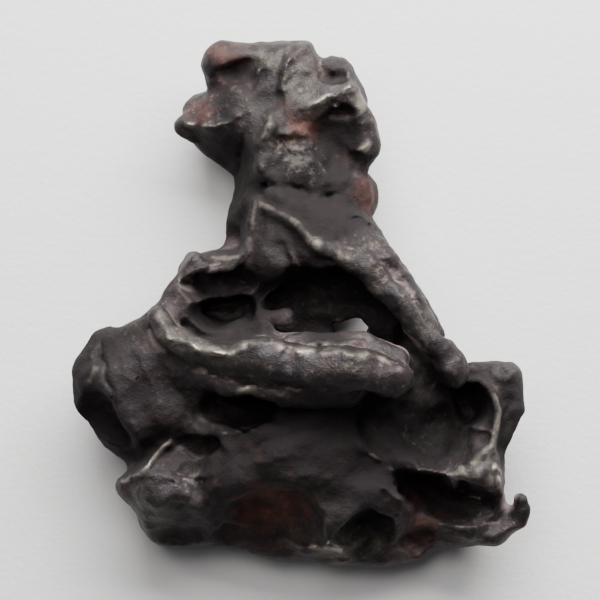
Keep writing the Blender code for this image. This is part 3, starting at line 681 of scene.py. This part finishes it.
def facets(p, size, seed):
    """Shallow pressed faces with sharp edges between them: the square of the distance to the nearest of the
    scattered points, one near the middle of each cell of the size, less its usual value."""
    q = p / size - 0.5
    base = np.floor(q)
    nearest = np.full(len(p), FAR, np.float32)
    for step in np.ndindex(2, 2, 2):
        cell = base + np.array(step, np.float32)
        spot = cell + FACET_SCATTER * (hashed(cell, seed) - 0.5)
        nearest = np.minimum(nearest, ((q - spot) ** 2).sum(1))
    return nearest - USUAL_FACET


def lumps(p, size, seed):
    """Smooth random heights from -1 to 1: random values at the corners of cells of the size, joined by the
    smooth step 3t^2 - 2t^3 along each axis."""
    q = p / size
    base = np.floor(q)
    t = q - base
    t = t * t * (3 - 2 * t)
    total = np.zeros(len(p), np.float32)
    for step in np.ndindex(2, 2, 2):
        corner = np.array(step, np.float32)
        share = np.prod(np.where(corner > 0, t, 1 - t), axis=1)
        total += share * hashed(base + corner, seed)[:, 0]
    return 2 * total - 1


def spots(p, rows):
    """Sum over the spots of strength times exp(-(distance / radius)^2)."""
    total = np.zeros(len(p), np.float32)
    for centre, radius, strength in rows:
        away = ((p - np.array(centre, np.float32)) ** 2).sum(1)
        total += strength * np.exp(-away / radius**2)
    return total


def line_relief(p, width, points):
    """Height of a drawn line: the height at its nearest point, times exp(-(distance / width)^1.5)."""
    nearest = np.full(len(p), FAR, np.float32)
    height = np.zeros(len(p), np.float32)
    for a, b, t, off in stretches(p, points, 2):
        away = np.sqrt((off * off).sum(1))
        height = np.where(away < nearest, a[2] + t * (b[2] - a[2]), height)
        nearest = np.minimum(nearest, away)
    return height * np.exp(-((nearest / width) ** 1.5))


def near_from_above(p, places):
    """Which points a mark at these places on the sheet can change, at any height."""
    return near(p, (np.append(np.min(places, 0), -FAR), np.append(np.max(places, 0), FAR)))


def drawn_relief(p):
    """Height of the drawn lines and dots, which fade out below the upper skin. The lines are looked up at
    points moved by their own short waves, and their sum is scaled by 1 + KNOB_SHARE times a lump from -1 to 1.
    A dot's height falls off as exp(-(distance / radius)^2)."""
    height = np.zeros(len(p), np.float32)
    moved = p + wander(p, LINE_WAVES)
    for width, points in LINES.values():
        i = near_from_above(p, np.array(points)[:, :2])
        height[i] += line_relief(moved[i], width, points)
    height *= 1 + KNOB_SHARE * lumps(p, KNOB_SPACING, KNOB_SEED)
    for *place, radius, rise in DOTS:
        i = near_from_above(p, np.array([place]))
        away = ((p[i, :2] - np.array(place, np.float32)) ** 2).sum(1)
        height[i] += rise * np.exp(-away / radius**2)
    return height * np.clip((p[:, 2] - DRAWN_FROM) / DRAWN_FADE, 0, 1)


def skin_relief(p):
    """Height of the drawn lines, the small facets and the lumps of the skin."""
    height = drawn_relief(p)
    for number, (size, depth) in enumerate(FACETS):
        height += depth * facets(p, size, FACET_SEED + number)
    rough = spots(p, ROUGH_SPOTS)
    for number, (size, depth, everywhere) in enumerate(LUMPS):
        height += depth * (everywhere + rough) * lumps(p, size, LUMP_SEED + number)
    return height


def web_above_table(p):
    """Distance to the main forms, cut off flat at the table."""
    return np.maximum(web(p - wander(p, WAVES)), -p[:, 2])


def metal(p):
    """Distance to the finished surface: the web less the skin's relief, cut off flat at the table."""
    distance = web(p - wander(p, WAVES))
    close = np.flatnonzero(np.abs(distance) < NEAR_SURFACE)
    distance[close] -= skin_relief(p[close])
    return np.maximum(distance, -p[:, 2])


def sampled(function, p):
    """The function at all the points, a batch at a time to spare memory."""
    return np.concatenate([function(p[start : start + BATCH]) for start in range(0, len(p), BATCH)])


def distance_grid():
    """The distance on the fine grid: first found without the skin at the middle of blocks of COARSE_STEP cells
    a side, then in full in the blocks that the surface may cross. Elsewhere only its sign matters."""
    block = FINE_CELL * COARSE_STEP
    middles = []
    for low, high in zip(SHEET_LOW, SHEET_HIGH):
        middles.append(np.arange(low, high, block, dtype=np.float32) + FINE_CELL * (COARSE_STEP - 1) / 2)
    places = np.stack(np.meshgrid(*middles, indexing="ij"), -1).reshape(-1, 3)
    grid = sampled(web_above_table, places).reshape([len(m) for m in middles])
    for axis in range(3):
        grid = np.repeat(grid, COARSE_STEP, axis)
    axes = [low + FINE_CELL * np.arange(n, dtype=np.float32) for low, n in zip(SHEET_LOW, grid.shape)]
    close = np.nonzero(np.abs(grid) < NEAR_SURFACE)
    grid[close] = sampled(metal, np.stack([axis[i] for axis, i in zip(axes, close)], 1))
    return grid


def cell_points(grid):
    """One point in each cell that the surface crosses: the mean of where it cuts the cell's twelve edges.
    Gives the points and the number of each cell's point, -1 where it has none."""
    shape = np.array(grid.shape)
    inside = grid < 0
    count = np.zeros(shape - 1, np.int8)
    for i, j, k in np.ndindex(2, 2, 2):
        count += inside[i : shape[0] - 1 + i, j : shape[1] - 1 + j, k : shape[2] - 1 + k]
    crossed = (count > 0) & (count < 8)
    number = np.full(crossed.shape, -1, np.int64)
    number[crossed] = np.arange(crossed.sum())
    cell = np.argwhere(crossed)
    total = np.zeros((len(cell), 3))
    cuts = np.zeros(len(cell))
    for axis in range(3):
        for offset in np.ndindex(2, 2):
            start = np.insert(np.array(offset), axis, 0)
            end = np.insert(np.array(offset), axis, 1)
            a = grid[tuple((cell + start).T)]
            b = grid[tuple((cell + end).T)]
            cut = (a < 0) != (b < 0)
            t = np.where(cut, a / np.where(cut, a - b, 1), 0)
            total += np.where(cut[:, None], cell + start + (end - start) * t[:, None], 0)
            cuts += cut
    points = np.array(SHEET_LOW) + FINE_CELL * total / cuts[:, None]
    return points.astype(np.float32), number


def cell_quads(grid, number):
    """One quad for each grid edge that the surface cuts, between the points of the four cells round that edge,
    wound so that it faces out of the metal."""
    inside = grid < 0
    quads = []
    for axis in range(3):
        first, second = [other for other in range(3) if other != axis]
        a = np.take(inside, range(grid.shape[axis] - 1), axis)
        b = np.take(inside, range(1, grid.shape[axis]), axis)
        edge = np.argwhere(a != b)
        u = np.eye(3, dtype=int)[first]
        v = np.eye(3, dtype=int)[second]
        ring = np.stack([number[tuple((edge - s).T)] for s in (u + v, v, 0 * u, u)], 1)
        leaves = a[tuple(edge.T)] if axis != 1 else b[tuple(edge.T)]
        quads.append(np.where(leaves[:, None], ring, ring[:, ::-1]))
    return np.concatenate(quads)


def value_and_slope(p):
    """The distance and its rate of change along x, y and z, from its values at the four corners of a small
    tetrahedron round each point: their mean, and their sum weighted by the corners' directions."""
    corners = np.array([[1, 1, 1], [1, -1, -1], [-1, 1, -1], [-1, -1, 1]], np.float32)
    value = np.zeros(len(p), np.float32)
    slope = np.zeros_like(p)
    for corner in corners:
        distance = sampled(metal, p + corner * SLOPE_STEP)
        value += distance / 4
        slope += distance[:, None] * corner / (4 * SLOPE_STEP)
    return value, slope


def settled(p, steps):
    """Points moved onto the surface: each step goes against the slope by distance over squared steepness."""
    for _ in range(steps):
        distance, slope = value_and_slope(p)
        steepness = np.maximum((slope**2).sum(1), LEAST_STEEPNESS)
        move = np.clip(distance / steepness, -MOST_MOVE, MOST_MOVE)
        p = (p - move[:, None] * slope).astype(np.float32)
        p[:, 2] = np.maximum(p[:, 2], 0)
    return p


def mesh_from(name, points, faces):
    """A mesh of these points and of faces that give the numbers of their corners."""
    mesh = bpy.data.meshes.new(name)
    mesh.from_pydata(points, [], faces)
    return mesh


def add_object(name, data):
    """A new object at the origin of the scene, unturned and unscaled."""
    made = bpy.data.objects.new(name, data)
    bpy.context.scene.collection.objects.link(made)
    return made


def thinned(points, quads):
    """The quads as triangles, and those left when the flattest are merged, down to the most allowed."""
    triangles = np.concatenate([quads[:, [0, 1, 2]], quads[:, [0, 2, 3]]])
    helper = add_object("thinning", mesh_from("thinning", points, triangles))
    fewer = helper.modifiers.new("fewer", "DECIMATE")
    fewer.ratio = min(1.0, MOST_TRIANGLES / len(triangles))
    mesh = bpy.data.meshes.new_from_object(helper.evaluated_get(bpy.context.evaluated_depsgraph_get()))
    bpy.data.objects.remove(helper)
    flat = np.empty(len(mesh.vertices) * 3, np.float32)
    mesh.vertices.foreach_get("co", flat)
    corners = np.empty(len(mesh.loops), np.int32)
    mesh.loops.foreach_get("vertex_index", corners)
    bpy.data.meshes.remove(mesh)
    return flat.reshape(-1, 3), corners.reshape(-1, 3)


def proudness(p, normal, depth):
    """How far a point stands on a crest: 0 on a flat, towards 1 on a sharp edge, from the distance found at the
    depth under it, which is the depth itself under a flat."""
    return 1 + sampled(metal, p - normal * depth) / depth


def shelter(p, normal, height):
    """How enclosed a point is: 0 on a flat, towards 1 in a narrow hollow, from the distance found at the height
    over it."""
    return 1 - sampled(metal, p + normal * height) / height


def rubbed_and_painted_highlight(p):
    """How much handling has rubbed a point, together with the painted highlight laid along the same lines: the
    greatest strength times exp(-(distance / reach)^2) over the rubbed lines, seen from above."""
    most = np.zeros(len(p), np.float32)
    for reach, strength, points in RUBBED_AND_PAINTED_HIGHLIGHT.values():
        for _, _, _, off in stretches(p, points, 2):
            most = np.maximum(most, strength * np.exp(-(off**2).sum(1) / reach**2))
    return most


def surface_values(p):
    """The values that the material reads at each point, from 0 to 1. Edges that face up are worn and given a
    painted highlight, less so under a stain and its painted shade, and so is everything along the rubbed and
    highlighted lines, more so where it stands proud. The stain value is partly a real dark film and partly
    painted shade."""
    _, normal = value_and_slope(p)
    normal /= np.maximum(np.linalg.norm(normal, axis=1)[:, None], TINY)
    fine, broad = [proudness(p, normal, depth) for depth, _ in (FINE_CREST, BROAD_CREST)]
    small, large = [shelter(p, normal, height) for height, _ in (SMALL_HOLLOW, LARGE_HOLLOW)]
    upward = np.clip(normal[:, 2] + UPWARD_START, 0, 1)
    # Partly a real dark film, partly painted shade on faces that should look darker.
    stain_and_painted_shade = np.clip(spots(p, STAIN_AND_PAINTED_SHADE_SPOTS), 0, 1)
    edges = (FINE_CREST[1] * fine + BROAD_CREST[1] * broad) * upward * (1 - STAIN_AND_SHADE_COVER * stain_and_painted_shade)
    return {
        # Real wear and painted highlight on crests, in one value.
        "wear_and_painted_highlight": np.clip(edges + rubbed_and_painted_highlight(p) * (RUBBED_AND_HIGHLIGHT_FLAT + broad), 0, 1),
        "shelter": np.clip(SMALL_HOLLOW[1] * small + LARGE_HOLLOW[1] * large, 0, 1),
        "rust": np.clip(spots(p, RUST_SPOTS), 0, 1),
        "stain_and_painted_shade": stain_and_painted_shade,
        "grit": np.clip(spots(p, ROUGH_SPOTS), 0, 1),
    }


def make_skeleton():
    """The piece's mesh in metres, with its surface values as point attributes."""
    grid = distance_grid()
    points, number = cell_points(grid)
    points, faces = thinned(settled(points, 2), cell_quads(grid, number))
    points = settled(points, 1)
    mesh = mesh_from(NODE + "_surface", (points - CENTRE) * SQUARE, faces)
    for name, values in surface_values(points).items():
        attribute = mesh.attributes.new(name, "FLOAT", "POINT")
        attribute.data.foreach_set("value", values.astype(np.float32))
    mesh.shade_smooth()
    return add_object("pallasite_surface", mesh)


def colour(code):
    """An sRGB hex code as linear red, green and blue with alpha 1."""
    parts = [int(code[i : i + 2], 16) / 255 for i in (1, 3, 5)]
    return tuple(c / 12.92 if c <= 0.04045 else ((c + 0.055) / 1.055) ** 2.4 for c in parts) + (1.0,)


def add(tree, kind, settings):
    """Adds a node. The settings are its properties by name, and its inputs by name or number: an input is
    joined to the output given for it, or else holds the value."""
    node = tree.nodes.new(kind)
    for name, value in settings.items():
        if isinstance(name, str) and hasattr(node, name):
            setattr(node, name, value)
        elif isinstance(value, bpy.types.NodeSocket):
            tree.links.new(value, node.inputs[name])
        else:
            node.inputs[name].default_value = value
    return node


def empty_material(name):
    """A material with no nodes yet, and its node tree."""
    material = bpy.data.materials.new(name)
    material.use_nodes = True
    material.node_tree.nodes.clear()
    return material, material.node_tree


def in_millimetres(tree):
    """Places on the object in millimetres, from its own coordinates in metres."""
    place = add(tree, "ShaderNodeTexCoord", {}).outputs["Object"]
    scale = (1 / MILLIMETRE,) * 3
    return add(tree, "ShaderNodeMapping", {"Vector": place, "Scale": scale}).outputs[0]


def weighted_sum(tree, source, amounts):
    """A chain of nodes that adds up the named sources, each times its amount."""
    total = 0.0
    for name, amount in amounts.items():
        settings = {"operation": "MULTIPLY_ADD", 0: source[name], 1: amount, 2: total}
        total = add(tree, "ShaderNodeMath", settings).outputs[0]
    return total


def iron_material():
    """Weathered meteoric iron, etched out of the stone and handled since: a dark grey oxide skin with a satin
    sheen, pale burnished metal on its crests that is partly a painted highlight, brown rust in its hollows,
    pale dirt in its hollows that is partly painted light, a dark film that is partly painted shade, and bright
    specks where the skin is gritty. A Mix node blends numbers at its inputs 2 and 3, and colours at 6 and 7."""
    material, tree = empty_material("weathered meteoric iron")
    place = in_millimetres(tree)
    source = {}
    for name, (size, detail) in GRAINS.items():
        settings = {"Vector": place, "Scale": 1 / size, "Detail": detail, "Roughness": GRAIN_ROUGHNESS}
        source[name] = add(tree, "ShaderNodeTexNoise", settings).outputs["Fac"]
    for name in ("wear_and_painted_highlight", "shelter", "rust", "stain_and_painted_shade", "grit"):
        source[name] = add(tree, "ShaderNodeAttribute", {"attribute_name": name}).outputs["Fac"]
    tone, rough, metallic = OXIDE
    tone = colour(tone)
    for code, own_rough, own_metallic, strength, start, full, amounts in FINISHES.values():
        total = weighted_sum(tree, source, amounts)
        settings = {"interpolation_type": "SMOOTHSTEP", "Value": total}
        settings.update({"From Min": start, "From Max": full, "To Max": strength})
        mask = add(tree, "ShaderNodeMapRange", settings).outputs[0]
        settings = {"data_type": "RGBA", 0: mask, 6: tone, 7: colour(code)}
        tone = add(tree, "ShaderNodeMix", settings).outputs[2]
        rough = add(tree, "ShaderNodeMix", {0: mask, 2: rough, 3: own_rough}).outputs[0]
        metallic = add(tree, "ShaderNodeMix", {0: mask, 2: metallic, 3: own_metallic}).outputs[0]
    # Less fine relief where the wear and painted highlight are strongest.
    settings = {"Value": source["wear_and_painted_highlight"], "From Max": 1.0, "To Min": 1.0, "To Max": WORN_AND_HIGHLIGHT_RELIEF}
    away_from_wear_and_highlight = add(tree, "ShaderNodeMapRange", settings).outputs[0]
    settings = {"Distance": MILLIMETRE, "Strength": away_from_wear_and_highlight, "Height": weighted_sum(tree, source, RELIEF)}
    bump = add(tree, "ShaderNodeBump", settings).outputs[0]
    settings = {"Base Color": tone, "Roughness": rough, "Metallic": metallic, "Normal": bump}
    settings["Specular IOR Level"] = SHEEN
    shader = add(tree, "ShaderNodeBsdfPrincipled", settings).outputs[0]
    add(tree, "ShaderNodeOutputMaterial", {"Surface": shader})
    return material


def paper_material():
    """Matt white card: a soft even grey with the faintest tooth."""
    material, tree = empty_material("matt white card")
    size, detail = CARD_TOOTH
    settings = {"Vector": in_millimetres(tree), "Scale": 1 / size, "Detail": detail}
    tooth = add(tree, "ShaderNodeTexNoise", settings).outputs["Fac"]
    settings = {"Strength": CARD_TOOTH_STRENGTH, "Distance": CARD_TOOTH_HEIGHT, "Height": tooth}
    bump = add(tree, "ShaderNodeBump", settings).outputs[0]
    settings = {"Base Color": colour(CARD_COLOUR), "Roughness": CARD_ROUGHNESS, "Normal": bump}
    shader = add(tree, "ShaderNodeBsdfPrincipled", settings).outputs[0]
    add(tree, "ShaderNodeOutputMaterial", {"Surface": shader})
    return material


def make_floor():
    """A square of card under the piece, a hair below its flat patches so that no two faces share a plane."""
    half = FLOOR_SIZE / 2
    corners = np.array([[-half, -half], [half, -half], [half, half], [-half, half]])
    corners = np.column_stack([corners, np.full(4, -FLOOR_GAP)])
    mesh = mesh_from("card", corners, [[0, 1, 2, 3]])
    mesh.materials.append(paper_material())
    return add_object("card", mesh)


def make_light():
    """A broad window light beyond the far edge, a weak one overhead that opens the hollows, and an even grey
    world. Both lights look at the piece's middle."""
    for name, (place, size, power) in LIGHTS.items():
        lamp = bpy.data.lights.new(name, "AREA")
        lamp.shape = "RECTANGLE"
        lamp.size, lamp.size_y = size
        lamp.energy = power
        lamp.color = LIGHT_TINT
        light = add_object(name, lamp)
        light.location = place
        light.rotation_euler = Vector(place).to_track_quat("Z", "Y").to_euler()
        light.visible_camera = False
    world = bpy.data.worlds.new("studio")
    world.use_nodes = True
    background = world.node_tree.nodes["Background"]
    background.inputs["Color"].default_value = colour(WORLD_COLOUR)
    background.inputs["Strength"].default_value = WORLD_STRENGTH
    bpy.context.scene.world = world


def make_camera():
    """Straight down on the piece from far off, so that VIEW_WIDTH fills the picture at VIEW_HEIGHT."""
    camera = bpy.data.cameras.new("camera")
    camera.sensor_fit = "HORIZONTAL"
    camera.sensor_width = SENSOR_WIDTH
    camera.lens = SENSOR_WIDTH * (CAMERA_HEIGHT - VIEW_HEIGHT) / VIEW_WIDTH
    camera.clip_start = CLIP_START
    view = add_object("camera", camera)
    x, y = (np.array(VIEW_CENTRE) - CENTRE[:2]) * SQUARE
    view.location = (x, y, CAMERA_HEIGHT)
    bpy.context.scene.camera = view


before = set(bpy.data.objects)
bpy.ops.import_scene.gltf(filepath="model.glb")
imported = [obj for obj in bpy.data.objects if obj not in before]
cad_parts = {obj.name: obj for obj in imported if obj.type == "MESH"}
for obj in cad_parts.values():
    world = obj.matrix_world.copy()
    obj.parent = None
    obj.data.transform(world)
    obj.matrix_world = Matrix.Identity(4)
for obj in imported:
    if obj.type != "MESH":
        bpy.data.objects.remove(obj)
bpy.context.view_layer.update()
make_camera()
make_light()
floor = make_floor()
skeleton = make_skeleton()
skeleton.data.materials.append(iron_material())
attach(skeleton, "root")
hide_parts(NODE)
